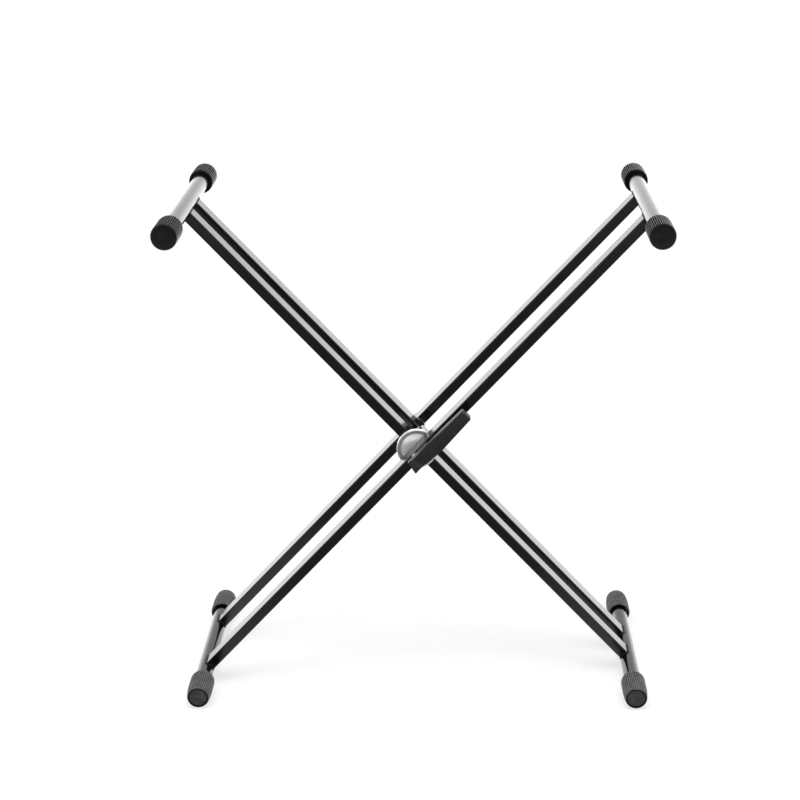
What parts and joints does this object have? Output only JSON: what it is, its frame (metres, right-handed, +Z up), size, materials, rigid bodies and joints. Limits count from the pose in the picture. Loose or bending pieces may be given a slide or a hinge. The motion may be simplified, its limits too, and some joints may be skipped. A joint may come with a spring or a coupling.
{
  "type": "folding keyboard stand",
  "caption": "Double-braced folding X stand for a keyboard, with round support arms and feet in ribbed rubber caps, locked by a disc clutch with a release lever.",
  "frame": {"origin": "on the floor, straight below the pivot, at the bottom centre of the stand's box", "axes": "+Z up, -Y to the front where the lever is, +X to the right arm"},
  "size_m": [0.7054, 0.44, 0.7462],
  "materials": {
    "black_paint": "gloss black powder coat",
    "cap_rubber": "matt ribbed rubber",
    "lever_plastic": "matt moulded plastic",
    "nylon_black": "plain nylon",
    "disc_chrome": "satin chrome on pressed steel",
    "zinc_steel": "zinc plate"
  },
  "bodies": {
    "outer_frame": {"outer_brace_front": "black_paint", "outer_brace_rear": "black_paint", "outer_foot_tube": "black_paint", "outer_arm_tube": "black_paint", "outer_welds": "black_paint", "outer_foot_cap_front": "cap_rubber", "outer_foot_cap_rear": "cap_rubber", "outer_arm_cap_front": "cap_rubber", "outer_arm_cap_rear": "cap_rubber", "clutch_spring": "zinc_steel", "pivot_bolt": "zinc_steel", "pivot_washers": "zinc_steel", "pivot_nut": "zinc_steel", "rear_sleeve": "zinc_steel", "rear_spacer": "nylon_black", "lever_bracket": "black_paint", "hinge_pin": "zinc_steel"},
    "inner_frame": {"inner_brace_front": "black_paint", "inner_brace_rear": "black_paint", "inner_foot_tube": "black_paint", "inner_arm_tube": "black_paint", "inner_welds": "black_paint", "inner_foot_cap_front": "cap_rubber", "inner_foot_cap_rear": "cap_rubber", "inner_arm_cap_front": "cap_rubber", "inner_arm_cap_rear": "cap_rubber", "inner_bushes": "nylon_black", "centre_spacer": "black_paint", "clutch_disc_inner": "disc_chrome", "clutch_lining": "nylon_black"},
    "clutch_release": {"clutch_disc_outer": "disc_chrome", "release_rods": "black_paint", "release_yoke": "black_paint", "yoke_pin": "zinc_steel"},
    "release_lever": {"lever": "lever_plastic"}
  },
  "joints": [
    {"name": "fold", "type": "hinge", "parent": "outer_frame", "child": "inner_frame", "pos_m": [0, 0, 0.3693], "axis": [0, 1, 0], "range_deg": [-30, 80]},
    {"name": "lever_squeeze", "type": "hinge", "parent": "outer_frame", "child": "release_lever", "pos_m": [0.01637, -0.104, 0.38685], "axis": [-0.7314, 0, 0.682], "range_deg": [0, 8.18], "stiffness_Nm_per_rad": 6, "springref_deg": -14.32},
    {"name": "disc_release", "type": "slide", "parent": "outer_frame", "child": "clutch_release", "axis": [0, -1, 0], "range_m": [0, 0.002], "deforming": ["clutch_spring"]}
  ],
  "couplings": [
    {"joint": "disc_release", "follows": "lever_squeeze", "m_per_rad": 0.014}
  ]
}
